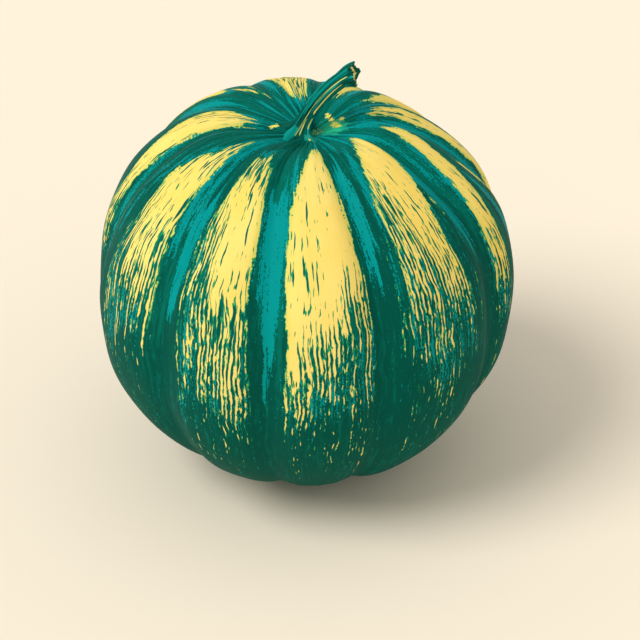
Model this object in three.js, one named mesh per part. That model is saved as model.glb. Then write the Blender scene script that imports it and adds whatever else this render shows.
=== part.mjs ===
// A whole ribbed cantaloupe melon that stands on its blossom end, with the stalk still on it.
// The fruit is one closed skin: a round body, eleven uneven ribs with soft valleys between them,
// a dished crown where the stalk sits, and a small flat spot underneath. The stalk is a ridged stem
// that spreads into roots on the crown, leans over, and ends in a swollen tip with a cut face.
// Millimetres and degrees. +Z is up, -Y is the front, and the origin is the middle of the flat spot.

import * as THREE from "three";

const DEGREE = Math.PI / 180;

// The fruit's driving sizes.
const girthRadius = 80.5; // axis to the top of a rib at the widest height
const crownRise = 80; // widest height to the top of the round body, before the dish
const baseDrop = 76; // widest height to the bottom of the round body, before the flat spot
const footRadius = 16; // the flat spot under the fruit
const dishDepth = 13; // how far the crown sinks round the stalk
const dishRadius = 24;
const dishShift = 4.5; // how far the dish, with the stalk, is carried to the right of the body's crown
const crownLean = 2.5; // how far the body's crown leans to the left of the foot

// The ribs, from the valley just left of the front and on to the right, as widths in degrees.
const ribWidths = [31.5, 43.5, 33, 27, 22, 22.5, 36, 35.5, 35, 42.5, 31.5];
const firstValley = -10;
const valleyDepth = 3.2;
const crownFavour = 0.15; // how much deeper the valleys are near the crown than near the foot
const valleyHalfWidth = 5.5; // degrees from a valley's floor to where its side levels out
const ribRounding = 1.3; // how far a rib falls from its middle to its edge, beside the valley
const backCalm = 0.8; // share of that relief which is missing at the back of the crown
const shoulderSwell = 2.1; // how far the shoulders stand out
const shoulderFavour = 0.9; // how much more they do on the right, and less on the left
const shoulderDown = 62; // degrees down from the crown to the middle of the shoulders
const shoulderSpread = 17; // degrees in which they level out

// The fruit's slow unevenness: each wave has a height, a count round the fruit, a start, and a twist
// between crown and foot, both in radians.
const swells = [
  { height: 0.7, count: 2, start: 0.6, twist: 1.3 },
  { height: 0.45, count: 3, start: 1.9, twist: 4.7 },
  { height: 0.3, count: 7, start: 0.3, twist: -3.8 },
];

// The stalk's driving sizes, in the upright plane that it leans in.
const stalkLean = 12; // degrees that this plane is turned back from the right-hand side
const stalkRoute = new THREE.CubicBezierCurve(
  new THREE.Vector2(-2.4, 0),
  new THREE.Vector2(-2.4, 6.4),
  new THREE.Vector2(6.5, 20.3),
  new THREE.Vector2(17, 22.9),
);
const stalkWaist = 2.6; // radius of the stem below its tip
const footSwell = 0.6; // added to the radius just above the roots
const footSwellReach = 0.45; // share of the route in which that fades
const tipSwell = 1.5; // added to the radius at the cut tip
const tipSwellStart = 0.8; // share of the route at which that begins
const ridgeCount = 5;
const ridgeHeight = 0.13; // share of the radius
const ridgeTwist = 25; // degrees that the ridges turn on their way up
const rootReach = 7.4; // radius of the foot between its roots
const rootLength = 2.6; // how much further the roots reach
const rootBackCalm = 0.6; // share of that length which is missing at the back
const rootSpread = 0.09; // share of the route in which the roots draw in
const rootSharpness = 1.2; // how suddenly they do
const drapeSpread = 0.13; // share of the route in which the stalk follows the dish under it
const cutSlant = 0.25; // how far the cut runs on towards the back, for each millimetre across it
const cutReach = 0.1; // share of the route, at the tip, that is drawn out to that slant
const pithDepth = 0.7; // how far the middle of the cut face sinks
const seatGap = 0.4; // stalk to fruit

// How finely the surfaces are divided.
const stepsAcrossRib = 10;
const rowsDown = 46;
const rowCrowding = 1.2; // over 1, the fruit's rows lie closer near the stalk
const stepsAcrossRidge = 8;
const stalkRows = 30;
const stalkCrowding = 1.5; // over 1, the stalk's rows lie closer near the roots

const footAngle = Math.PI - Math.asin(footRadius / girthRadius);
const girthHeight = -baseDrop * Math.cos(footAngle);

// How far along the rib pattern a turn round the fruit lies: the rib's width, and the
// distance to its nearer valley, both in degrees.
function ribAt(turn) {
  let rest = (((turn - firstValley) % 360) + 360) % 360;
  for (const width of ribWidths) {
    if (rest <= width) return { width, fromValley: Math.min(rest, width - rest) };
    rest -= width;
  }
  return { width: ribWidths[0], fromValley: 0 };
}

// How deep the surface lies under the round body there: a bell-shaped valley, and a rib that
// falls off towards its edges. Both fade to nothing at the crown's middle and at the flat spot, and
// they are slighter at the back of the crown.
function reliefAt(turn, share) {
  const { width, fromValley } = ribAt(turn);
  const upwards = Math.max(Math.cos(footAngle * share), 0);
  const backwards = Math.max(-Math.cos(turn * DEGREE), 0);
  const fade = Math.sin(Math.PI * share) * (1 + crownFavour * Math.cos(Math.PI * share));
  const calm = 1 - backCalm * (backwards * upwards) ** 2;
  const valley = Math.exp(-((fromValley / valleyHalfWidth) ** 2));
  const edge = (1 - (2 * fromValley) / width) ** 2;
  return fade * calm * (valleyDepth * valley + ribRounding * edge);
}

// How far the slow unevenness and the shoulders carry the surface outwards there.
function swellAt(turn, share) {
  let height = 0;
  for (const { height: tall, count, start, twist } of swells) {
    height += tall * Math.sin(count * turn * DEGREE + start + twist * share);
  }
  const pastShoulder = (footAngle * share) / DEGREE - shoulderDown;
  const shoulder = Math.exp(-((pastShoulder / shoulderSpread) ** 2));
  const tall = shoulderSwell + shoulderFavour * Math.sin(turn * DEGREE);
  return height * Math.sin(Math.PI * share) ** 2 + shoulder * tall;
}

// A point of the skin, for a turn in degrees (0 is the front, 90 the right-hand side) and the
// angle down from the crown's middle in radians. Below the foot angle lies the flat spot.
function skinPoint(turn, down) {
  if (down > footAngle) return new THREE.Vector3(0, 0, 0);
  const share = down / footAngle;
  const outward = swellAt(turn, share) - reliefAt(turn, share);
  const rise = down < Math.PI / 2 ? crownRise : baseDrop;
  const radius = (girthRadius + outward) * Math.sin(down);
  const dish = down < Math.PI / 2 ? Math.exp(-((radius / dishRadius) ** 2)) : 0;
  const height = girthHeight + (rise + outward) * Math.cos(down) - dishDepth * dish;
  const shift = dishShift * dish - crownLean * Math.max(Math.cos(down), 0) ** 2;
  return new THREE.Vector3(
    radius * Math.sin(turn * DEGREE) + shift,
    -radius * Math.cos(turn * DEGREE),
    down === footAngle ? 0 : height,
  );
}

// The turn, in degrees, of a step round the fruit: every rib gets the same number of steps.
function turnOfStep(step) {
  const rib = Math.floor(step / stepsAcrossRib) % ribWidths.length;
  let turn = firstValley;
  for (let i = 0; i < rib; i++) turn += ribWidths[i];
  return turn + (ribWidths[rib] * (step % stepsAcrossRib)) / stepsAcrossRib;
}

// The fruit: a sphere whose every corner moves to its place on the skin. Its last row is the flat
// spot's rim, and its last pole is the flat spot's middle.
function makeFruit() {
  const steps = ribWidths.length * stepsAcrossRib;
  const geometry = new THREE.SphereGeometry(1, steps, rowsDown);
  const place = geometry.getAttribute("position");
  const grid = geometry.getAttribute("uv");
  for (let i = 0; i < place.count; i++) {
    const row = Math.round((1 - grid.getY(i)) * rowsDown);
    const step = Math.round(grid.getX(i) * steps) % steps;
    const down = row === rowsDown ? Math.PI : footAngle * (row / (rowsDown - 1)) ** rowCrowding;
    const point = row === 0 ? skinPoint(0, 0) : skinPoint(turnOfStep(step), down);
    place.setXYZ(i, point.x, point.y, point.z);
  }
  geometry.computeVertexNormals();
  return geometry;
}

// The stalk's radius along its route: thick over the roots, slim halfway, swollen at the tip.
function stalkRadius(along) {
  const foot = footSwell * Math.exp(-along / footSwellReach);
  const tip = tipSwell * THREE.MathUtils.smoothstep(along, tipSwellStart, 1);
  return stalkWaist + foot + tip;
}

// The height of the skin over the crown's middle, at a place beside the stalk.
function crownHeight(x, y) {
  const radius = Math.hypot(x, y);
  const turn = Math.atan2(x, -y) / DEGREE;
  return skinPoint(turn, Math.asin(radius / girthRadius)).z - skinPoint(0, 0).z;
}

// A point of the stalk: along runs from 0 at the roots to 1 at the tip, around in radians, and
// out from 0 in the middle to 1 at the bark.
function stalkPoint(along, around, out) {
  const middle = stalkRoute.getPoint(along);
  const heading = stalkRoute.getTangent(along);
  const ridge = Math.cos(ridgeCount * (around + ridgeTwist * DEGREE * along));
  const roots = Math.exp(-((along / rootSpread) ** rootSharpness));
  const length = rootLength * (1 - rootBackCalm * Math.max(Math.sin(around), 0));
  const flare = (rootReach - stalkRadius(0) + length * ridge) * roots;
  const radius = out * (stalkRadius(along) * (1 + ridgeHeight * ridge) + flare);
  const side = radius * Math.cos(around);
  const across = radius * Math.sin(around);
  const slant = cutSlant * across * THREE.MathUtils.smoothstep(along, 1 - cutReach, 1);
  const onward = along === 1 ? slant - pithDepth * (1 - out) : slant;
  const inPlane = middle.x + side * heading.y + onward * heading.x;
  const lean = stalkLean * DEGREE;
  const x = inPlane * Math.cos(lean) - across * Math.sin(lean);
  const y = inPlane * Math.sin(lean) + across * Math.cos(lean);
  const drape = Math.exp(-((along / drapeSpread) ** 2));
  const z = middle.y - side * heading.x + onward * heading.y + drape * crownHeight(x, y);
  return new THREE.Vector3(x, y, z);
}

// The stalk: a cylinder whose every corner moves to its place on the bark or on the end faces.
function makeStalk() {
  const steps = ridgeCount * stepsAcrossRidge;
  const geometry = new THREE.CylinderGeometry(1, 1, 1, steps, stalkRows);
  const place = geometry.getAttribute("position");
  for (let i = 0; i < place.count; i++) {
    const out = Math.round(Math.hypot(place.getX(i), place.getZ(i)));
    const turn = Math.atan2(place.getX(i), place.getZ(i)) / (2 * Math.PI);
    const step = (Math.round(turn * steps) + steps) % steps;
    const row = Math.round((place.getY(i) + 0.5) * stalkRows);
    const point = stalkPoint((row / stalkRows) ** stalkCrowding, (2 * Math.PI * step) / steps, out);
    place.setXYZ(i, point.x, point.y, point.z);
  }
  geometry.computeVertexNormals();
  return geometry;
}

const rindMaterial = new THREE.MeshStandardMaterial({ color: 0xf2d670, roughness: 0.45, metalness: 0 });
const stalkMaterial = new THREE.MeshStandardMaterial({ color: 0x2f8a6c, roughness: 0.7, metalness: 0 });

const fruit = new THREE.Mesh(makeFruit(), rindMaterial);
fruit.name = "fruit";

const stalk = new THREE.Mesh(makeStalk(), stalkMaterial);
stalk.name = "stalk";
stalk.position.copy(skinPoint(0, 0));
stalk.position.z += seatGap;

const melon = new THREE.Group();
melon.add(fruit, stalk);

export default melon;
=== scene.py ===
import math

import bpy
import numpy as np
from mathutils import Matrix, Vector


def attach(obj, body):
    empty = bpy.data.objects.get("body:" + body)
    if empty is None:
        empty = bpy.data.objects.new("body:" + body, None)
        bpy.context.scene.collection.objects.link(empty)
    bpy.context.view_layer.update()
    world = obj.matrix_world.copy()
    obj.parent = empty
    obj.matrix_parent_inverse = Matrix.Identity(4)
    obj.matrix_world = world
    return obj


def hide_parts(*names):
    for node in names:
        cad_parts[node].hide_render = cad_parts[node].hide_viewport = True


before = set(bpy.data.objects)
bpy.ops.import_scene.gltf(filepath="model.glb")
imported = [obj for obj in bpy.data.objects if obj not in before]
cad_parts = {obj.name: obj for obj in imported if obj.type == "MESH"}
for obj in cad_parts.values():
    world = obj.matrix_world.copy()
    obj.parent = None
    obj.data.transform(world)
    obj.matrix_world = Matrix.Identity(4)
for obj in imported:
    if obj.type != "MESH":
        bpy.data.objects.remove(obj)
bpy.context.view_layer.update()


# The fruit is one closed skin of firm waxy rind. It swells in eleven uneven ribs with a soft valley
# between each two, sinks into a dish where the stalk feeds it, and stands on its flat blossom end,
# where the flower left a small corky scar.
girth_radius = 0.0805  # axis to the top of a rib at the widest height
crown_rise = 0.080
base_drop = 0.076
foot_radius = 0.016
dish_depth = 0.013
dish_radius = 0.024
dish_shift = 0.0045  # the dish lies this far right of the body's crown
crown_lean = 0.0025  # and the body's crown this far left of the foot
rib_widths = np.array([31.5, 43.5, 33, 27, 22, 22.5, 36, 35.5, 35, 42.5, 31.5])
first_valley = -10.0
valley_depth = 0.0032
valley_half_width = 5.5
crown_favour = 0.15
back_calm = 0.8  # share of that relief which is missing at the back of the crown
rib_rounding = 0.0013
shoulder_swell = 0.0021  # how far the shoulders stand out
shoulder_favour = 0.0009  # how much more they do on the right, and less on the left
shoulder_down = 62.0
shoulder_spread = 17.0
swells = [(0.0007, 2, 0.6, 1.3), (0.00045, 3, 1.9, 4.7), (0.0003, 7, 0.3, -3.8)]

fold_height = 0.00034  # the gathers round the stalk
fold_reach = 0.030
fold_start = (0.004, 0.012)  # the radii between which they rise out of the crown's middle
fold_counts = (16, 50)  # fewest and most waves of them round the fruit
fold_paint_reach = (0.018, 0.034)  # the radii between which the pale paint on them fades out
fold_paint_favour = 0.006  # how much further it reaches on the right
front_valley_spread = 15.0  # degrees from the front valley in which there is less of it
dent_depth = 0.00022
scar_radius = 0.0062
scar_hollow = 0.0011
scar_button = 0.0007
tender_place = (0.0110, 0.0015)  # the middle of a tender patch on the crown, right of the stalk
tender_radius = 0.0062
bare_marks = [  # bare yellow marks round the stalk: place, run to the right and back, and radius
    (0.0088, 0.0104, 0, 0, 0.0007), (0.0093, 0.0088, 0, 0, 0.0010), (0.0104, 0.0072, 0, 0, 0.0010),
    (0.0116, 0.0034, 0, 0, 0.0013), (0.0129, 0.0020, 0, 0, 0.0010), (0.0142, 0.0058, 0, 0, 0.0008),
    (-0.0122, 0.0004, 0.0052, 0.0038, 0.0006),
]

# Each rib's yellow, from the rib right of the first valley on, in mm: the green margins left and right
# of it near the crown, the same at the girth, the distances from the crown's middle at which it begins
# on the left, in the middle and on the right, and the angle down where the margins are halfway between.
yellow_edges = np.array([
    (6.6, 2.5, 6.8, 2.4, 24, 16, 17, 40),
    (11.5, 1.8, 11.0, 17.0, 34, 25, 17, 40),
    (8.0, 6.5, 5.8, 30.0, 30, 26, 34, 46),
    (3.1, 7.5, 5.0, 22.0, 27, 27, 38, 44),
    (1.0, 10.0, 6.0, 10.0, 23, 30, 44, 40),
    (2.0, 9.0, 6.0, 8.0, 26, 30, 42, 40),
    (3.3, 5.0, 7.0, 8.5, 28, 19.5, 40, 40),
    (10.5, 9.0, 12.0, 8.0, 30, 40, 36, 40),
    (5.0, 1.0, 29.0, 6.0, 30, 20, 19, 40),
    (11.5, 4.2, 20.0, 6.4, 80, 43, 6, 40),
    (5.8, 4.6, 9.0, 6.2, 36, 27, 28, 40),
])

# Narrow yellow streaks in the green: the valley's number, then in mm how far right of it the streak
# starts and ends, and its half width, and the angles down from and to which it shows.
streaks = [
    (3, -11.0, -12.5, 1.3, 42, 92), (3, 12.0, 9.0, 0.8, 20, 34), (5, 0.2, 0.6, 1.7, 14, 46),
    (7, 4.2, 19.0, 1.5, 14, 36), (7, 7.0, 5.0, 0.9, 22, 40), (2, -8.5, -10.5, 0.7, 40, 62),
    (2, -12.0, -13.5, 0.5, 66, 96), (10, 7.2, 8.0, 0.6, 40, 100), (1, 8.6, 9.0, 0.5, 44, 92),
]

# The green lines that cut into each rib's yellow, as angles down: where they start on the left, in the
# middle and on the right, where they take up half of it in the same three places, and where all is green.
line_spans = np.array([
    (68, 62, 40, 80, 73, 52, 98),
    (-10, 38, 30, 14, 56, 60, 90),
    (46, 50, 56, 64, 68, 70, 90),
    (54, 62, 58, 76, 84, 78, 98),
    (52, 60, 58, 78, 86, 78, 98),
    (50, 62, 60, 78, 84, 80, 98),
    (16, 52, 60, 42, 76, 82, 98),
    (48, 60, 60, 72, 84, 80, 98),
    (24, 30, 50, 44, 50, 62, 78),
    (0, 36, 56, 20, 62, 84, 90),
    (-55, 46, 24, -24, 72, 38, 104),
])

# How busy each rib's yellow is with short flecks, and with lines near its tip, in spreads of the noise
# that makes them.
busy_ribs = np.array([-0.25, 0.1, 0.1, 0.1, 0.1, 0.1, 0.4, 0.2, 0.15, 0.75, 0.6])
busy_tips = np.array([-3, -3, -3, -3, -3, -3, -0.6, -3, -1.5, -0.5, 0.0])
line_count = 310  # green lines that would fit side by side round the fruit

# The paler strands in the green bands, told as the streaks are.
strands = [
    (0, 1.1, 1.1, 4.0, 30, 80), (0, 5.4, 5.0, 0.8, 14, 44), (1, 2.8, 2.8, 2.4, 20, 64),
    (0, -0.4, -0.4, 0.7, 56, 98), (1, 10.2, 10.2, 1.2, 16, 58), (2, -3.6, -3.8, 3.2, 14, 68),
    (2, 8.4, 6.0, 1.1, 22, 84), (2, 3.5, 3.5, 0.7, 12, 50), (2, -11.5, -12.5, 0.7, 34, 56),
    (3, -6.6, -6.6, 1.8, 10, 46), (3, 0.8, 0.8, 1.2, 20, 74), (3, -18.0, -19.0, 1.5, 44, 84),
    (3, -7.5, -6.5, 1.2, 44, 88), (10, -5.6, -5.0, 1.7, 2, 15),
    (4, -5.5, -5.5, 1.5, 12, 70), (4, 2.0, 2.0, 1.4, 24, 80), (5, -6.0, -6.0, 1.6, 14, 66),
    (5, 5.5, 5.5, 1.3, 20, 84), (6, -4.5, -4.5, 1.8, 12, 72), (6, 2.6, 2.6, 1.2, 18, 60),
    (7, -3.0, -3.0, 2.0, 14, 76), (7, 8.2, 4.2, 1.0, 20, 64), (8, -2.2, -2.2, 2.2, 16, 70),
    (8, 4.6, 12.0, 1.3, 20, 82), (8, 9.0, 20.0, 0.8, 40, 88), (9, -2.4, -2.4, 0.6, 18, 88),
    (9, 4.8, 4.8, 0.8, 12, 36), (9, 12.6, 12.6, 0.2, 22, 74), (9, 9.0, 9.0, 0.1, 30, 90),
    (10, -4.8, -4.7, 1.2, 4, 66), (10, -2.0, -2.3, 0.9, 4, 54), (10, 2.2, 2.2, 3.4, 36, 76),
]

column_count = 440  # of the mesh, round the fruit
body_rows = 210  # from the crown's middle to the flat spot's rim
row_crowding = 1.15  # over 1, these rows lie closer near the stalk
flat_rows = 14  # over the flat spot

foot_angle = math.pi - math.asin(foot_radius / girth_radius)
girth_height = -base_drop * math.cos(foot_angle)
crown_end = 1.5  # the angle down, in radians, to which folds and marks of the crown are worked out
gather_radius = 0.050  # within it the strands and streaks draw together
far_outside = -5.0  # what a pattern says where nothing of its kind is near


def soft_step(value, low, high):
    """0 below low, 1 above high, and 3s^2 - 2s^3 between, where s is the share of the way."""
    share = np.clip((value - low) / (high - low), 0, 1)
    return share * share * (3 - 2 * share)


def rib_place(turn):
    """The rib that a turn falls in: its number, its width in degrees, and the share across it, from -1
    in the valley on its left, through 0 along its top, to 1 in the valley on its right."""
    right_edges = np.cumsum(rib_widths)
    rest = (turn - first_valley) % 360
    rib = np.minimum(np.searchsorted(right_edges, rest, side="right"), len(rib_widths) - 1)
    return rib, rib_widths[rib], 1 - 2 * (right_edges[rib] - rest) / rib_widths[rib]


def waves(turn, down, round_counts, down_counts, seed, total=20):
    """Smooth random unevenness with a spread of about 1: a sum of cosines of (whole number x turn +
    number x down + phase). The whole numbers make it close on itself round the fruit."""
    random = np.random.default_rng(seed)
    field = 0.0
    for _ in range(total):
        across = random.integers(round_counts[0], round_counts[1] + 1) * random.choice([-1, 1])
        along = random.uniform(*down_counts)
        field = field + np.cos(across * np.radians(turn) + along * down + random.uniform(0, 2 * np.pi))
    return field * math.sqrt(2 / total)


def gathers(turn, down):
    """The folds that radiate from the stalk, stronger in some places than in others, with a spread of
    about 1."""
    strength = np.clip(0.8 + 0.4 * waves(turn, down, (2, 7), (-2, 2), 14), 0.2, 1.4)
    return strength * waves(turn, down, fold_counts, (-1.5, 1.5), 11, 26)


def skin(turn, down):
    """Points of the skin for turns in degrees and angles down from the crown in radians.
    Radius is (girth + outward) x sin(down) and height is (rise + outward) x cos(down), where outward
    is the slow swells, the shoulders, the gathers and the dents less the valleys and the ribs' rounding.
    The dish lowers the crown and carries it sideways by a bell curve of the radius."""
    share = np.minimum(down / foot_angle, 1)
    _, width, across = rib_place(turn)
    from_valley = (1 - np.abs(across)) * width / 2
    edge = (1 - 2 * np.hypot(from_valley, 1.0) / width) ** 2
    upwards = np.maximum(np.cos(down), 0)
    backwards = np.maximum(-np.cos(np.radians(turn)), 0)
    fade = np.sin(np.pi * share) * (1 + crown_favour * np.cos(np.pi * share))
    fade = fade * (1 - back_calm * (backwards * upwards) ** 2)
    valley = np.exp(-((from_valley / valley_half_width) ** 2))
    outward = -fade * (valley_depth * valley + rib_rounding * edge)
    for height, count, start, twist in swells:
        swell = height * np.sin(count * np.radians(turn) + start + twist * share)
        outward = outward + swell * np.sin(np.pi * share) ** 2
    shoulder = np.exp(-(((np.degrees(down) - shoulder_down) / shoulder_spread) ** 2))
    outward = outward + shoulder * (shoulder_swell + shoulder_favour * np.sin(np.radians(turn)))
    plain_radius = girth_radius * np.sin(down)
    near_stalk = soft_step(plain_radius, *fold_start) * np.exp(-((plain_radius / fold_reach) ** 2))
    outward = outward + fold_height * np.where(down < crown_end, near_stalk, 0) * gathers(turn, down)
    outward = outward + dent_depth * fade * waves(turn, down, (3, 16), (-14, 14), 12)
    radius = (girth_radius + outward) * np.sin(down)
    upper = down < np.pi / 2
    dish = np.where(upper, np.exp(-((radius / dish_radius) ** 2)), 0)
    rise = np.where(upper, crown_rise, base_drop)
    height = girth_height + (rise + outward) * np.cos(down) - dish_depth * dish
    shift = dish_shift * dish - crown_lean * upwards**2
    return radius * np.sin(np.radians(turn)) + shift, -radius * np.cos(np.radians(turn)), height, radius


def across_rib(left, middle, right, across):
    """The parabola through a rib's values on the left, in the middle and on the right."""
    return middle + (right - left) / 2 * across + ((left + right) / 2 - middle) * across**2


def ripe_edge(turn, down, radius):
    """How far inside the yellow a place lies, in mm: the smallest of its distances from the left
    margin, from the right margin and from where the yellow begins, with rounded corners. And how near
    it lies to where the yellow begins, between the margins, from 0 to 1."""
    rib, width, across = rib_place(turn)
    margins = np.moveaxis(yellow_edges[rib], -1, 0)
    near_left, near_right, girth_left, girth_right, *begins, halfway = margins
    arc = np.radians(width / 2) * radius * 1000
    at_girth = soft_step(np.degrees(down) - halfway, -20, 20)
    left = (1 + across) * arc - near_left - (girth_left - near_left) * at_girth
    right = (1 - across) * arc - near_right - (girth_right - near_right) * at_girth
    left = left + 0.5 * waves(turn, down, (2, 9), (-9, 9), 21)
    right = right + 0.5 * waves(turn, down, (2, 9), (-9, 9), 27)
    top = 0.6 * (radius * 1000 - across_rib(*begins, across)) + waves(turn, down, (9, 60), (-3, 3), 28)
    tip = np.exp(-(((top + 1.2) / 2.0) ** 2)) * soft_step(np.minimum(left, right), -4, 0)
    return -np.log(np.exp(-left) + np.exp(-right) + np.exp(-np.maximum(top, -30))), tip


def line_drive(turn, down):
    """How strongly green lines cut the yellow, in spreads of their noise: -1.6 where they start, 0 where
    they take up half of it and 1.6 where all is green, in straight lines between and beyond. Some ribs
    have more of them near the tip, mostly on the left."""
    rib, _, across = rib_place(turn)
    spans = np.moveaxis(line_spans[rib], -1, 0)
    start, half = across_rib(*spans[:3], across), across_rib(*spans[3:6], across)
    past = np.degrees(down) - half + 4 * waves(turn, down, (3, 24), (-3, 3), 24)
    rate = np.where(past < 0, half - start, spans[6] - half)
    tips = busy_tips[rib] - 0.6 * (1 + across) - 3 * soft_step(np.degrees(down), 26, 46)
    level = np.maximum(np.clip(1.6 * past / rate, -2.8, 1.8), tips)
    # Past 112 degrees down the level climbs further: the underside turns all green, and the material
    # paints its green darker there as painted shade.
    return level + 2.0 * soft_step(np.degrees(down), 112, 150)


def inside_listed(turn, down, radius, listed):
    """How far inside the nearest listed strand or streak a place lies, in mm. They draw together towards
    the crown, by the square root of the radius, and their ends are torn."""
    valleys = first_valley + np.concatenate([[0], np.cumsum(rib_widths)[:-1]])
    gather = np.sqrt(np.minimum(radius / gather_radius, 1))
    sway = 0.5 * waves(turn, down, (2, 10), (-8, 8), 23)
    torn = np.degrees(down) + 3.5 * waves(turn, down, (40, 160), (-2, 2), 26)
    deepest = np.full(np.broadcast_shapes(turn.shape, down.shape), far_outside)
    for valley, begins, ends, half_width, start, stop in listed:
        off_valley = np.radians((turn - valleys[valley] + 180) % 360 - 180) * radius * 1000
        offset = begins + (ends - begins) * np.clip((np.degrees(down) - start) / (stop - start), 0, 1)
        inside = gather * half_width - np.abs(off_valley - gather * (offset + sway))
        shown = soft_step(torn, start - 4, start + 8) * (1 - soft_step(torn, stop - 16, stop + 6))
        deepest = np.maximum(deepest, inside - (half_width + 2) * (1 - shown))
    return deepest


def fruit_columns():
    """Turns of the mesh's columns: each rib gets its share of them, closer together near the valleys,
    by across = t + 0.15 sin(pi t) for even steps of t from -1 to 1."""
    turns, left_edge = [], first_valley
    for width in rib_widths:
        steps = round(column_count * width / 360)
        even = np.linspace(-1, 1, steps, endpoint=False)
        turns.append(left_edge + width / 2 * (1 + even + 0.15 * np.sin(np.pi * even)))
        left_edge += width
    return np.concatenate(turns)


def closed_mesh(name, rings, fields):
    """A closed mesh from rings of points (rings x points round x 3) whose first and last rings are
    each a single point. Each field is a value, or a vector, for each point, kept as an attribute."""
    count, around, _ = rings.shape
    place = np.arange(count * around).reshape(count, around)
    place[1:-1] -= around - 1
    place[0], place[-1] = 0, (count - 2) * around + 1
    upper, lower = place[:-1], place[1:]
    corners = np.stack([lower, np.roll(lower, -1, 1), np.roll(upper, -1, 1), upper], -1)
    faces = corners[1:-1].reshape(-1, 4).tolist()
    faces += corners[0][:, [0, 1, 3]].tolist() + corners[-1][:, [1, 2, 3]].tolist()
    kept = np.zeros(count * around, bool)
    kept[around:-around] = True
    kept[[0, -1]] = True
    mesh = bpy.data.meshes.new(name)
    mesh.from_pydata(rings.reshape(-1, 3)[kept].tolist(), [], faces)
    for key, values in fields.items():
        full = np.broadcast_to(values, (count, around) + np.shape(values)[2:])
        flat = full.reshape(count * around, -1)[kept]
        kind, slot = ("FLOAT_VECTOR", "vector") if flat.shape[1] == 3 else ("FLOAT", "value")
        mesh.attributes.new(key, kind, "POINT").data.foreach_set(slot, flat.astype(np.float32).ravel())
    mesh.polygons.foreach_set("use_smooth", np.ones(len(faces), bool))
    mesh.validate()
    mesh.update()
    piece = bpy.data.objects.new(name, mesh)
    bpy.context.scene.collection.objects.link(piece)
    return piece


def bare_mark_field(x, y):
    """How far inside the nearest bare mark a place lies: 1 - distance / radius, where the distance is
    to the nearest point of the mark's run."""
    field = np.full(x.shape, far_outside)
    for mark_x, mark_y, run_x, run_y, mark_radius in bare_marks:
        run_square = run_x**2 + run_y**2 or 1.0
        share = np.clip(((x - mark_x) * run_x + (y - mark_y) * run_y) / run_square, 0, 1)
        off_mark = np.hypot(x - mark_x - share * run_x, y - mark_y - share * run_y)
        field = np.maximum(field, 1 - off_mark / mark_radius)
    return field


def rind_fields(turn, down, x, y, radius):
    """What the rind's material reads at each point: how strongly each pattern shows there, and, as
    unrolled, the point's place on a round tube that runs straight from crown to foot."""
    rib, _, _ = rib_place(turn)
    ripe, tip = ripe_edge(turn, down, radius)
    ripe = np.maximum(ripe, inside_listed(turn, down, radius, streaks))
    lines = line_drive(turn, down)
    flecks = busy_ribs[rib] - 1.25 + 0.45 * waves(turn, down, (2, 14), (-9, 9), 25) + 0.15 * lines

    # Pale green: the strands, a fringe where the yellow begins and where it frays out, and the crown's
    # folds, more of them and broader on the right, and fewer down the valley at the front. On the folds
    # the pale sits on the gathers' crests as a painted highlight; their troughs stay dark as painted
    # shade.
    frayed_out = soft_step(lines, -0.3, 0.8) * (1 - soft_step(lines, 1.2, 1.8)) * soft_step(ripe, -1, 1)
    fringe = -1.6 + 1.8 * tip + 1.1 * frayed_out
    rightwards = np.maximum(np.sin(np.radians(turn)), 0)
    on_crown = down < crown_end
    past_crown = soft_step(radius - fold_paint_favour * rightwards, *fold_paint_reach)
    broad = waves(turn, down, (22, 44), (-3, 3), 15)
    # The gathers' crests get pale paint, a painted highlight; their troughs stay dark green, painted
    # shade.
    folds = 0.7 * gathers(turn, down) + 0.8 * broad - 0.95 + 0.3 * rightwards
    from_front = (turn - first_valley + 180) % 360 - 180
    front_valley = np.exp(-((from_front / front_valley_spread) ** 2))
    folds = folds - 1.3 * front_valley * soft_step(radius, 0.007, 0.014)
    folds = np.where(on_crown, folds - 3 * past_crown, far_outside)
    pale = np.clip(inside_listed(turn, down, radius, strands), -1.6, 1.15)
    pale = np.maximum(np.maximum(pale, fringe), folds)

    off_patch = np.hypot(x - tender_place[0], y - tender_place[1])
    scar = np.where(down > 2, 1 - radius / scar_radius, far_outside)
    unrolled = np.broadcast_arrays(np.cos(np.radians(turn)), np.sin(np.radians(turn)), down)
    return {
        "ripe": ripe,
        "lines": lines,
        "flecks": flecks,
        "pale": pale,
        "tender": np.where(on_crown, 1.2 - off_patch / tender_radius, far_outside),
        "marks": np.where(on_crown, bare_mark_field(x, y), far_outside),
        "unrolled": girth_radius * np.stack(unrolled, -1),
        "scar": np.broadcast_to(scar, x.shape),
    }


def make_fruit():
    """The skin's grid: rows run down the body and then in over the flat spot to its middle."""
    turn = fruit_columns()[None, :]
    down_body = foot_angle * np.linspace(0, 1, body_rows) ** row_crowding
    down_flat = np.linspace(foot_angle, math.pi, flat_rows + 1)[1:]
    down = np.concatenate([down_body, down_flat])[:, None]
    x, y, z, radius = skin(turn, down)

    # Over the flat spot: a shallow hollow, with the cracked corky button of the scar in it.
    on_flat = down > foot_angle
    radius = np.where(on_flat, foot_radius * (math.pi - down) / (math.pi - foot_angle), radius)
    hollow = scar_hollow * (1 - soft_step(radius, scar_radius, 1.5 * scar_radius))
    cracks = 1 + 0.3 * waves(turn, down, (5, 17), (-40, 40), 13)
    button = scar_button * cracks * (1 - soft_step(radius, 0.7 * scar_radius, scar_radius))
    x = np.where(on_flat, radius * np.sin(np.radians(turn)), x)
    y = np.where(on_flat, -radius * np.cos(np.radians(turn)), y)
    z = np.where(on_flat, np.maximum(hollow - button, 0), z)
    z[body_rows - 1] = 0
    return closed_mesh("melon_rind", np.stack([x, y, z], -1), rind_fields(turn, down, x, y, radius))


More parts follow.
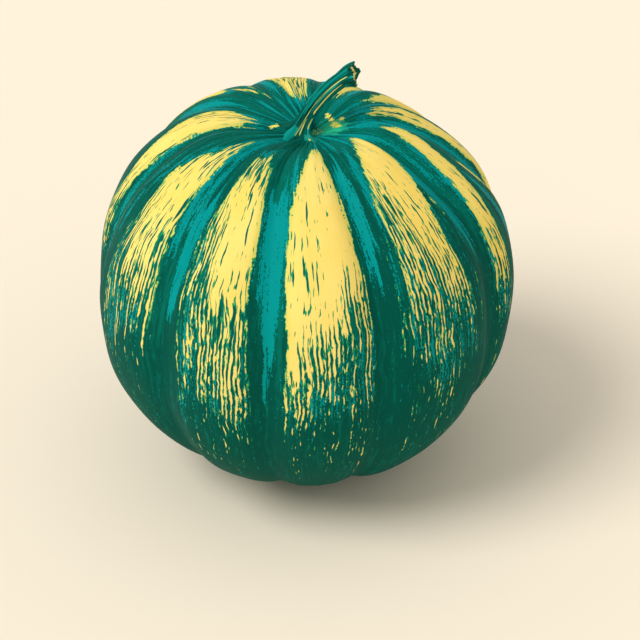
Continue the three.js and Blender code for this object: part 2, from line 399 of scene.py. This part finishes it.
def add_node(tree, kind, inputs=(), **settings):
    """A shader node with its settings, and its inputs as numbers, colours or links from other outputs."""
    node = tree.nodes.new(kind)
    for key, value in settings.items():
        setattr(node, key, value)
    for key, value in dict(inputs).items():
        if isinstance(value, bpy.types.NodeSocket):
            tree.links.new(value, node.inputs[key])
        else:
            node.inputs[key].default_value = value
    return node


def reckoned(tree, operation, first, second=0.0):
    """One step of arithmetic."""
    return add_node(tree, "ShaderNodeMath", {0: first, 1: second}, operation=operation).outputs[0]


def mixed(tree, *terms):
    """The sum of (weight, value) terms, whose values are links."""
    total = None
    for weight, value in terms:
        part = reckoned(tree, "MULTIPLY", value, weight)
        total = part if total is None else reckoned(tree, "ADD", total, part)
    return total


def attribute(tree, name):
    return add_node(tree, "ShaderNodeAttribute", attribute_name=name)


def cloud(tree, vector, scales, detail=3.0, roughness=0.6):
    """Noise about 0 with a spread of about 1, with its own scale, per metre, along each axis."""
    scaled = add_node(tree, "ShaderNodeMapping", {"Vector": vector, "Scale": scales}).outputs[0]
    noise = add_node(tree, "ShaderNodeTexNoise", {
        "Vector": scaled, "Scale": 1.0, "Detail": detail, "Roughness": roughness})
    return reckoned(tree, "MULTIPLY", reckoned(tree, "SUBTRACT", noise.outputs[0], 0.5), 8.5)


def swayed(tree, vector, scale, reach):
    """The vector carried aside by smooth noise, by up to about a fifth of reach, in metres."""
    sway = add_node(tree, "ShaderNodeTexNoise", {"Vector": vector, "Scale": scale, "Detail": 1.0})
    about_zero = add_node(
        tree, "ShaderNodeVectorMath", {0: sway.outputs[1], 1: (0.5, 0.5, 0.5)}, operation="SUBTRACT")
    shift = add_node(
        tree, "ShaderNodeVectorMath", {0: about_zero.outputs[0], "Scale": reach}, operation="SCALE")
    moved = add_node(
        tree, "ShaderNodeVectorMath", {0: vector, 1: shift.outputs[0]}, operation="ADD")
    return moved.outputs[0]


def threshold(tree, value, low, high):
    """0 below low and 1 above high, with a smooth step between."""
    return add_node(tree, "ShaderNodeMapRange", {
        "Value": value, "From Min": low, "From Max": high}, interpolation_type="SMOOTHSTEP").outputs[0]


def blend_colours(tree, share, first, second):
    mix = add_node(tree, "ShaderNodeMix", data_type="RGBA")
    for socket, value in ((mix.inputs[0], share), (mix.inputs[6], first), (mix.inputs[7], second)):
        if isinstance(value, bpy.types.NodeSocket):
            tree.links.new(value, socket)
        else:
            socket.default_value = value
    return mix.outputs[2]


def paint(red, green, blue):
    """A colour given as it looks on a screen, 0 to 255, as the linear colour that a shader takes."""
    return tuple(((c / 255 + 0.055) / 1.055) ** 2.4 for c in (red, green, blue)) + (1.0,)


# dark_green and light_green also carry painted shade: the green is pulled towards dark_green low down.
dark_green = paint(0, 83, 70)
light_green = paint(2, 107, 90)
# strand_green is also put on the crests of the crown's gathers as a painted highlight.
strand_green = paint(2, 148, 145)
rim_green = paint(40, 158, 98)  # beside the yellow
tender_green = paint(44, 190, 142)
mark_yellow = paint(255, 246, 108)
edge_yellow = paint(222, 214, 104)
deep_yellow = paint(252, 218, 104)
clear_yellow = paint(255, 227, 124)
dark_cork = paint(150, 116, 72)
light_cork = paint(196, 166, 112)


def rind_material():
    """Waxy rind. Bare is above 0 where the yellow shows: inside its ragged edge and clear of the green
    lines and flecks. The lines are a sine round the fruit, bent and broken by noise drawn out from
    crown to foot, and torn into lace low down. The green is dark, with paler strands, fine lines and
    pores in it, and darker towards the bottom, where the lines are strongest: painted shade."""
    material = bpy.data.materials.new("waxy_rind")
    material.use_nodes = True
    tree = material.node_tree
    surface = tree.nodes["Principled BSDF"]
    plain = attribute(tree, "unrolled").outputs["Vector"]
    place = swayed(tree, swayed(tree, plain, 60.0, 0.0034), 210.0, 0.0009)

    teeth = cloud(tree, plain, (300, 300, 900), 2.0)
    tears = cloud(tree, place, (420, 420, 90), 3.0)
    ripe = attribute(tree, "ripe").outputs["Fac"]
    edge = mixed(tree, (1.0, ripe), (0.22, teeth), (0.55, tears))

    parts = add_node(tree, "ShaderNodeSeparateXYZ", {0: place})
    angle = reckoned(tree, "ARCTAN2", parts.outputs[1], parts.outputs[0])
    sine = reckoned(tree, "SINE", reckoned(tree, "MULTIPLY", angle, float(line_count)))
    broken = cloud(tree, place, (520, 520, 30), 2.0, 0.5)
    frayed = cloud(tree, place, (1300, 1300, 170), 3.0)
    line_level = attribute(tree, "lines").outputs["Fac"]
    speckle = cloud(tree, place, (900, 900, 300), 2.0)
    lace = reckoned(tree, "MULTIPLY", speckle, threshold(tree, line_level, -0.5, 0.7))
    lines = mixed(tree, (0.78, sine), (0.65, broken), (0.62, frayed), (0.5, lace), (1.0, line_level))
    rows = cloud(tree, place, (640, 640, 26), 1.0)
    dashes = cloud(tree, place, (820, 820, 150), 1.5, 0.5)
    flecks = mixed(tree, (0.8, dashes), (0.7, rows), (1.0, attribute(tree, "flecks").outputs["Fac"]))
    marks = reckoned(tree, "MAXIMUM", lines, flecks)
    bare = reckoned(tree, "MINIMUM", edge, reckoned(tree, "MULTIPLY", marks, -0.7))
    yellow = threshold(tree, bare, -0.02, 0.16)

    fine = cloud(tree, place, (1050, 1050, 30), 3.0)
    pores = cloud(tree, plain, (1600, 1600, 1100), 1.0)
    pale = mixed(tree, (1.0, attribute(tree, "pale").outputs["Fac"]), (0.8, fine), (0.5, pores))
    pale = threshold(tree, pale, -0.18, 0.18)
    # The green's tone is random noise less the line level, so it turns dark low down, where the lines are
    # strong: painted shade.
    green_tone_and_low_shade = mixed(tree, (0.8, broken), (0.6, frayed), (-0.4, line_level))
    green = blend_colours(tree, threshold(tree, green_tone_and_low_shade, -0.7, 1.7), dark_green, light_green)
    green = blend_colours(tree, pale, green, strand_green)
    rim = threshold(tree, bare, -0.36, -0.08)
    green = blend_colours(tree, rim, green, rim_green)
    tender = mixed(tree, (1.0, attribute(tree, "tender").outputs["Fac"]), (0.2, tears), (0.3, speckle))
    green = blend_colours(tree, threshold(tree, tender, 0.3, 0.6), green, tender_green)
    bits = mixed(tree, (1.0, attribute(tree, "marks").outputs["Fac"]), (0.4, speckle))
    green = blend_colours(tree, threshold(tree, bits, -0.1, 0.1), green, mark_yellow)

    tone = threshold(tree, cloud(tree, plain, (45, 45, 30), 3.0), -1.5, 1.5)
    ripe_yellow = blend_colours(tree, tone, deep_yellow, clear_yellow)
    tint = threshold(tree, ripe, -0.5, 2.5)
    ripe_yellow = blend_colours(tree, tint, edge_yellow, ripe_yellow)
    colour = blend_colours(tree, yellow, green, ripe_yellow)
    cork = blend_colours(tree, threshold(tree, pores, -1.0, 1.0), dark_cork, light_cork)
    scar = mixed(tree, (1.0, attribute(tree, "scar").outputs["Fac"]), (0.06, teeth))
    colour = blend_colours(tree, threshold(tree, scar, -0.05, 0.05), colour, cork)
    tree.links.new(colour, surface.inputs["Base Color"])

    wax = reckoned(tree, "ADD", cloud(tree, plain, (140, 140, 140), 4.0), yellow)
    rough = add_node(tree, "ShaderNodeMapRange", {
        "Value": wax, "From Min": -2.0, "From Max": 3.0, "To Min": 0.46, "To Max": 0.6})
    tree.links.new(rough.outputs[0], surface.inputs["Roughness"])
    surface.inputs["Specular IOR Level"].default_value = 0.015

    grain = cloud(tree, plain, (900, 900, 900), 2.0)
    height = mixed(tree, (0.1, grain), (0.7, yellow), (0.12, broken))
    bump = add_node(tree, "ShaderNodeBump", {"Height": height, "Strength": 0.35, "Distance": 0.0002})
    tree.links.new(bump.outputs[0], surface.inputs["Normal"])
    return material


fruit = make_fruit()
fruit.data.materials.append(rind_material())
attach(fruit, "root")
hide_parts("fruit")


# The stalk is the stem that joined the fruit to the vine, tough and full of fibre. Five rounded ridges
# run up it with a slow twist, and spread over the crown as roots. It leans to the right and swells to
# the tip, where it was cut and partly torn, with the pale pith showing.
stalk_lean = math.radians(12)  # how far the plane it leans in is turned back from the right-hand side
stalk_route = np.array([(-0.0024, 0.0), (-0.0024, 0.0064), (0.0065, 0.0203), (0.0170, 0.0229)])
stalk_waist = 0.0026
foot_swell = 0.0006
foot_swell_reach = 0.45
tip_swell = 0.0015
tip_swell_start = 0.8
ridge_count = 5
ridge_height = 0.13
ridge_twist = math.radians(25)
root_reach = 0.0074
root_length = 0.0034
root_back_calm = 0.6  # share of that length which is missing at the back
root_spread = 0.09
root_sharpness = 1.2
drape_spread = 0.13
root_sink = 0.0007  # how far the roots' ends lie under the skin
root_sink_spread = 0.02  # share of the route in which that fades
cut_slant = 0.25  # how far the cut runs on towards the back, for each metre across it
cut_reach = 0.1
rim_raggedness = 0.00022
lobe_height = 0.0020  # the lobes of bark left standing at the back of the cut
spur_height = 0.0005  # a narrow spur of bark beside them
spur_side = 2.7  # its angle round the stalk, in radians
pith_depth = 0.0008
fibre_height = 0.00016  # the torn fibres in the cut face
flute_height = 0.05  # share of the radius
root_unevenness = 0.0008
bark_radius = 0.004  # of the straight stem on which the bark's pattern is laid out
bark_length = 0.036
tender_side = math.radians(340)  # where the foot's bark is tender and pale, as an angle round the stalk
tender_along = 0.045  # and as a share of the route

# Strands of paler green and lines of straw colour along the bark: the angle round the stalk, from its
# lower side by way of the back, the half width in mm, and the shares of the route where it shows.
green_strands = [
    (207, 0.7, -0.1, 0.97), (250, 0.3, 0.1, 1.1), (287, 0.25, 0.1, 0.8), (310, 0.35, 0.05, 0.9),
    (335, 0.4, 0.2, 1.1), (10, 0.5, 0.0, 0.8), (50, 0.7, 0.1, 1.1), (95, 0.5, 0.0, 0.9),
    (135, 0.6, 0.15, 1.1), (217, 2.0, -0.1, 0.15), (290, 1.3, -0.1, 0.1),
]
strand_taper = 0.04  # share of the route, to either side of an end, in which a strand thins out
straw_lines = [
    (239, 0.17, 0.03, 0.93), (272, 0.25, 0.36, 0.84), (252, 0.16, 0.03, 0.30), (282, 0.14, 0.16, 0.34),
    (30, 0.15, 0.2, 0.7), (75, 0.2, 0.3, 0.9), (115, 0.15, 0.1, 0.6), (165, 0.12, 0.4, 0.9),
]

stalk_columns = 220  # of the mesh, round the stalk
stalk_rows = 190
stalk_crowding = 1.4  # over 1, the rows lie closer near the roots
face_rings = 15


def crown_skin(x, y):
    """Height of the skin at places near the stalk. The dish is carried sideways by a shift that depends
    on the radius, so the radius is found again with each new shift until it settles."""
    shift = np.full_like(x, dish_shift - crown_lean)
    for _ in range(6):
        radius = np.hypot(x - shift, y)
        down = np.arcsin(np.minimum(radius / girth_radius, 0.9))
        shift = dish_shift * np.exp(-((radius / dish_radius) ** 2)) - crown_lean * np.cos(down) ** 2
    return skin(np.degrees(np.arctan2(x - shift, -y)), down)[2]


def stalk_middle(along):
    """The stalk's line, a cubic Bezier curve in the upright plane that it leans in, and its heading."""
    start, rise, bend, end = stalk_route
    rest = 1 - along
    point = rest**3 * start + 3 * rest**2 * along * rise + 3 * rest * along**2 * bend + along**3 * end
    heading = rest**2 * (rise - start) + 2 * rest * along * (bend - rise) + along**2 * (end - bend)
    return point, heading / np.linalg.norm(heading, axis=-1, keepdims=True)


def strand_field(angle, along, radius, listed):
    """How far inside the nearest listed strand a place on the bark lies, in mm."""
    field = np.full(radius.shape, far_outside)
    for middle, half_width, start, stop in listed:
        off = np.abs((angle - middle + 180) % 360 - 180)
        begun = soft_step(along, start - strand_taper, start + strand_taper)
        shown = begun * (1 - soft_step(along, stop - strand_taper, stop + strand_taper))
        field = np.maximum(field, half_width * shown - np.radians(off) * radius * 1000 - 0.5 * (1 - shown))
    return field


def make_stalk():
    """Rings round the line. Radius is (waist + foot swell + tip swell) x (1 + ridges + fine flutes) and,
    near the foot, the roots' flare, which follows the skin. The last rings close the cut face."""
    around = np.linspace(0, 2 * np.pi, stalk_columns, endpoint=False)[::-1][None, :]
    along = np.concatenate([[0.0], np.linspace(0, 1, stalk_rows) ** stalk_crowding])[:, None]
    turned = around + ridge_twist * along
    ridge = np.cos(ridge_count * turned)
    ridge = np.sign(ridge) * np.abs(ridge) ** 0.8 + 0.25 * np.cos(3 * turned + 1.0) * along
    flutes = flute_height * waves(np.degrees(turned), along, (9, 26), (-2.5, 2.5), 31)
    foot = foot_swell * np.exp(-along / foot_swell_reach)
    plain = stalk_waist + foot + tip_swell * soft_step(along, tip_swell_start, 1)
    roots = np.exp(-((along / root_spread) ** root_sharpness))
    length = root_length * (1 - root_back_calm * np.maximum(np.sin(around), 0))
    reach = root_reach + length * (0.6 * ridge + 0.6 * np.maximum(ridge, 0) ** 4)
    reach = reach + root_unevenness * waves(np.degrees(around), 0 * along, (2, 9), (0, 1), 32)
    radius = plain * (1 + ridge_height * ridge + flutes * (1 - 0.6 * roots)) + (reach - plain) * roots
    radius[0] = 0

    # The cut: a slanted plane, ragged at the rim, with lobes of bark left standing at the back.
    across = radius * np.sin(around)
    back = soft_step(np.sin(around), 0.1, 0.8) * soft_step(np.cos(around), -0.9, -0.1)
    ragged = rim_raggedness * waves(np.degrees(around), 0 * along, (5, 24), (0, 1), 33)
    lobes = lobe_height * back * (0.6 + 0.4 * np.cos(5 * around + 0.6))
    spur = spur_height * np.exp(-(((around - spur_side) / 0.15) ** 2))
    onward = cut_slant * across * soft_step(along, 1 - cut_reach, 1)
    onward = onward + (ragged + lobes + spur) * soft_step(along, 0.9, 1.0)

    # The cut face, in rings from the rim to its middle: out falls from 1 to 0.
    out = np.linspace(1, 0, face_rings + 1)[1:, None]
    rim = soft_step(out, 0.6, 1.0)
    fibres = waves(np.degrees(around), 30 * out, (6, 30), (-3, 3), 34) * np.sin(np.pi * out)
    face = onward[-1:] * rim + cut_slant * across[-1:] * out * (1 - rim)
    face = face + fibre_height * fibres - pith_depth * soft_step(1 - out, 0.0, 0.35)

    bark_rings = len(along)
    along = np.concatenate([along, np.ones_like(out)])
    radius = np.concatenate([radius, radius[-1:] * out])
    onward = np.concatenate([onward, face])
    point, heading = stalk_middle(along[..., None])
    side, across = radius * np.cos(around), radius * np.sin(around)
    in_plane = point[..., 0] + side * heading[..., 1] + onward * heading[..., 0]
    height = point[..., 1] - side * heading[..., 0] + onward * heading[..., 1]
    x = dish_shift - crown_lean + in_plane * math.cos(stalk_lean) - across * math.sin(stalk_lean)
    y = in_plane * math.sin(stalk_lean) + across * math.cos(stalk_lean)
    seat = skin(np.zeros(1), np.zeros(1))[2][0]
    drape = np.exp(-((along / drape_spread) ** 2))
    z = height + seat + drape * (crown_skin(x, y) - seat) - root_sink * np.exp(-along / root_sink_spread)

    angle = np.degrees(around) + 3 * waves(0 * around, along, (0, 0), (2, 9), 35, 6)
    shown = np.maximum(radius, stalk_waist)
    grown = np.broadcast_arrays(
        bark_radius * np.cos(around), bark_radius * np.sin(around), bark_length * along)
    fields = {
        "strand": np.clip(strand_field(angle, along, shown, green_strands), -0.8, 0.8),
        "straw": np.maximum(strand_field(angle, along, shown, straw_lines), -1),
        "grown": np.stack(grown, -1),
        "ridge": np.concatenate([ridge, np.repeat(ridge[-1:], len(out), 0)]),
        "out": np.concatenate([np.full((bark_rings, 1), 2.0), out]),
        "back": np.broadcast_to(np.sin(around), radius.shape),
        "tender": np.cos(around - tender_side) - 0.4 - 8 * np.abs(along - tender_along),
    }
    return closed_mesh("melon_stalk", np.stack([x, y, z], -1), fields)


# dark_bark and light_bark also carry painted shade: lighter on the ridges, darker in the grooves.
dark_bark = paint(0, 78, 66)
light_bark = paint(2, 104, 88)
strand_bark = paint(2, 148, 136)
tender_bark = paint(60, 150, 108)
fleck_yellow = paint(240, 218, 112)
straw_edge = paint(96, 160, 100)
straw_yellow = paint(243, 228, 128)
deep_pith = paint(255, 228, 118)
pale_pith = paint(255, 238, 150)
# inner_bark: the bark ring round the pith on the cut face, widened at the far rim partly as painted shade.
inner_bark = paint(4, 98, 78)


def stalk_material():
    """Green bark in long fibres, lighter on the ridges and darker in the grooves as painted shade,
    with paler strands, straw lines, and a tender patch with straw flecks on the foot. On the cut face,
    dark bark shows inside the rim, round straw-coloured pith; at the far rim its band widens, partly
    the bark of the standing lobes and partly painted shade."""
    material = bpy.data.materials.new("green_stalk")
    material.use_nodes = True
    tree = material.node_tree
    surface = tree.nodes["Principled BSDF"]
    grown = attribute(tree, "grown").outputs["Vector"]
    ridge = attribute(tree, "ridge").outputs["Fac"]
    out = attribute(tree, "out").outputs["Fac"]

    fibres = cloud(tree, grown, (900, 900, 70), 4.0, 0.65)
    fine = cloud(tree, grown, (1700, 1700, 90), 2.0)
    strand = mixed(tree, (1.0, attribute(tree, "strand").outputs["Fac"]), (0.18, fibres), (0.14, fine))
    # Random bark tone, with painted shade from the ridges: lighter on their crests, darker in the grooves.
    bark_tone_and_groove_shade = threshold(tree, mixed(tree, (0.7, fine), (0.4, ridge)), -1.2, 1.2)
    bark = blend_colours(tree, bark_tone_and_groove_shade, dark_bark, light_bark)
    bark = blend_colours(tree, threshold(tree, strand, -0.08, 0.08), bark, strand_bark)

    speckle = cloud(tree, grown, (900, 900, 900), 3.0)
    tender = mixed(tree, (1.0, attribute(tree, "tender").outputs["Fac"]), (0.25, fibres), (0.15, speckle))
    bark = blend_colours(tree, threshold(tree, tender, -0.1, 0.25), bark, tender_bark)
    flecks = mixed(tree, (1.0, tender), (0.5, speckle))
    bark = blend_colours(tree, threshold(tree, flecks, 0.9, 1.0), bark, fleck_yellow)
    straw = mixed(tree, (1.0, attribute(tree, "straw").outputs["Fac"]), (0.07, fine), (0.04, fibres))
    bark = blend_colours(tree, threshold(tree, straw, -0.16, -0.02), bark, straw_edge)
    bark = blend_colours(tree, threshold(tree, straw, -0.02, 0.06), bark, straw_yellow)

    grain = threshold(tree, speckle, -1.0, 1.0)
    pith = blend_colours(tree, grain, deep_pith, pale_pith)
    # The dark bark ring widens at the far side of the cut face: partly the bark of the standing lobes,
    # partly painted shade.
    far = threshold(tree, attribute(tree, "back").outputs["Fac"], -0.2, 0.4)
    ring = mixed(tree, (1.0, out), (0.16, far), (0.02, fibres))
    face = blend_colours(tree, threshold(tree, ring, 0.86, 0.94), pith, inner_bark)
    colour = blend_colours(tree, threshold(tree, out, 1.05, 1.2), face, bark)
    tree.links.new(colour, surface.inputs["Base Color"])
    surface.inputs["Roughness"].default_value = 0.65
    surface.inputs["Specular IOR Level"].default_value = 0.05
    bump = add_node(tree, "ShaderNodeBump", {"Height": fibres, "Strength": 0.45, "Distance": 0.0002})
    tree.links.new(bump.outputs[0], surface.inputs["Normal"])
    return material


stalk = make_stalk()
stalk.data.materials.append(stalk_material())
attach(stalk, "root")
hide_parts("stalk")


# The floor, the light and the camera: a plain cream floor, a broad soft light high on the left with
# plenty of light from all round, and a long lens that looks down on the crown.
floor_half_width = 3.0
bpy.ops.mesh.primitive_plane_add(size=2 * floor_half_width, location=(0, 0, 0))
floor = bpy.context.object
floor.name = "floor"
floor_material = bpy.data.materials.new("cream_floor")
floor_material.use_nodes = True
floor_surface = floor_material.node_tree.nodes["Principled BSDF"]
floor_surface.inputs["Base Color"].default_value = paint(252, 239, 217)
floor_surface.inputs["Roughness"].default_value = 0.9
floor_surface.inputs["Specular IOR Level"].default_value = 0.1
floor.data.materials.append(floor_material)

key_data = bpy.data.lights.new("key_lamp", "SUN")
key_data.energy = 1.8
key_data.angle = 0.55
key_lamp = bpy.data.objects.new("key_lamp", key_data)
bpy.context.scene.collection.objects.link(key_lamp)
lamp_direction = Vector((-0.85, -0.45, 1.1))  # from the melon towards the lamp
key_lamp.rotation_euler = lamp_direction.to_track_quat("Z", "Y").to_euler()
world = bpy.data.worlds.new("studio")
world.use_nodes = True
world.node_tree.nodes["Background"].inputs["Color"].default_value = (1.0, 0.99, 0.97, 1.0)
world.node_tree.nodes["Background"].inputs["Strength"].default_value = 0.62
bpy.context.scene.world = world
bpy.context.scene.view_settings.view_transform = "Standard"

view_elevation = math.radians(33)
view_distance = 0.9
view_width = 0.2474  # what the frame spans at that distance
frame_pixels = 640
melon_pixel = (303.5, 284)  # where the fruit's middle lies in the frame
camera_data = bpy.data.cameras.new("camera")
camera_data.sensor_width = 36
camera_data.lens = 36 * view_distance / view_width
camera_data.shift_x = (frame_pixels / 2 - melon_pixel[0]) / frame_pixels
camera_data.shift_y = (melon_pixel[1] - frame_pixels / 2) / frame_pixels
camera = bpy.data.objects.new("camera", camera_data)
bpy.context.scene.collection.objects.link(camera)
camera.location = (
    0, -view_distance * math.cos(view_elevation), girth_height + view_distance * math.sin(view_elevation))
camera.rotation_euler = (math.pi / 2 - view_elevation, 0, 0)
bpy.context.scene.camera = camera
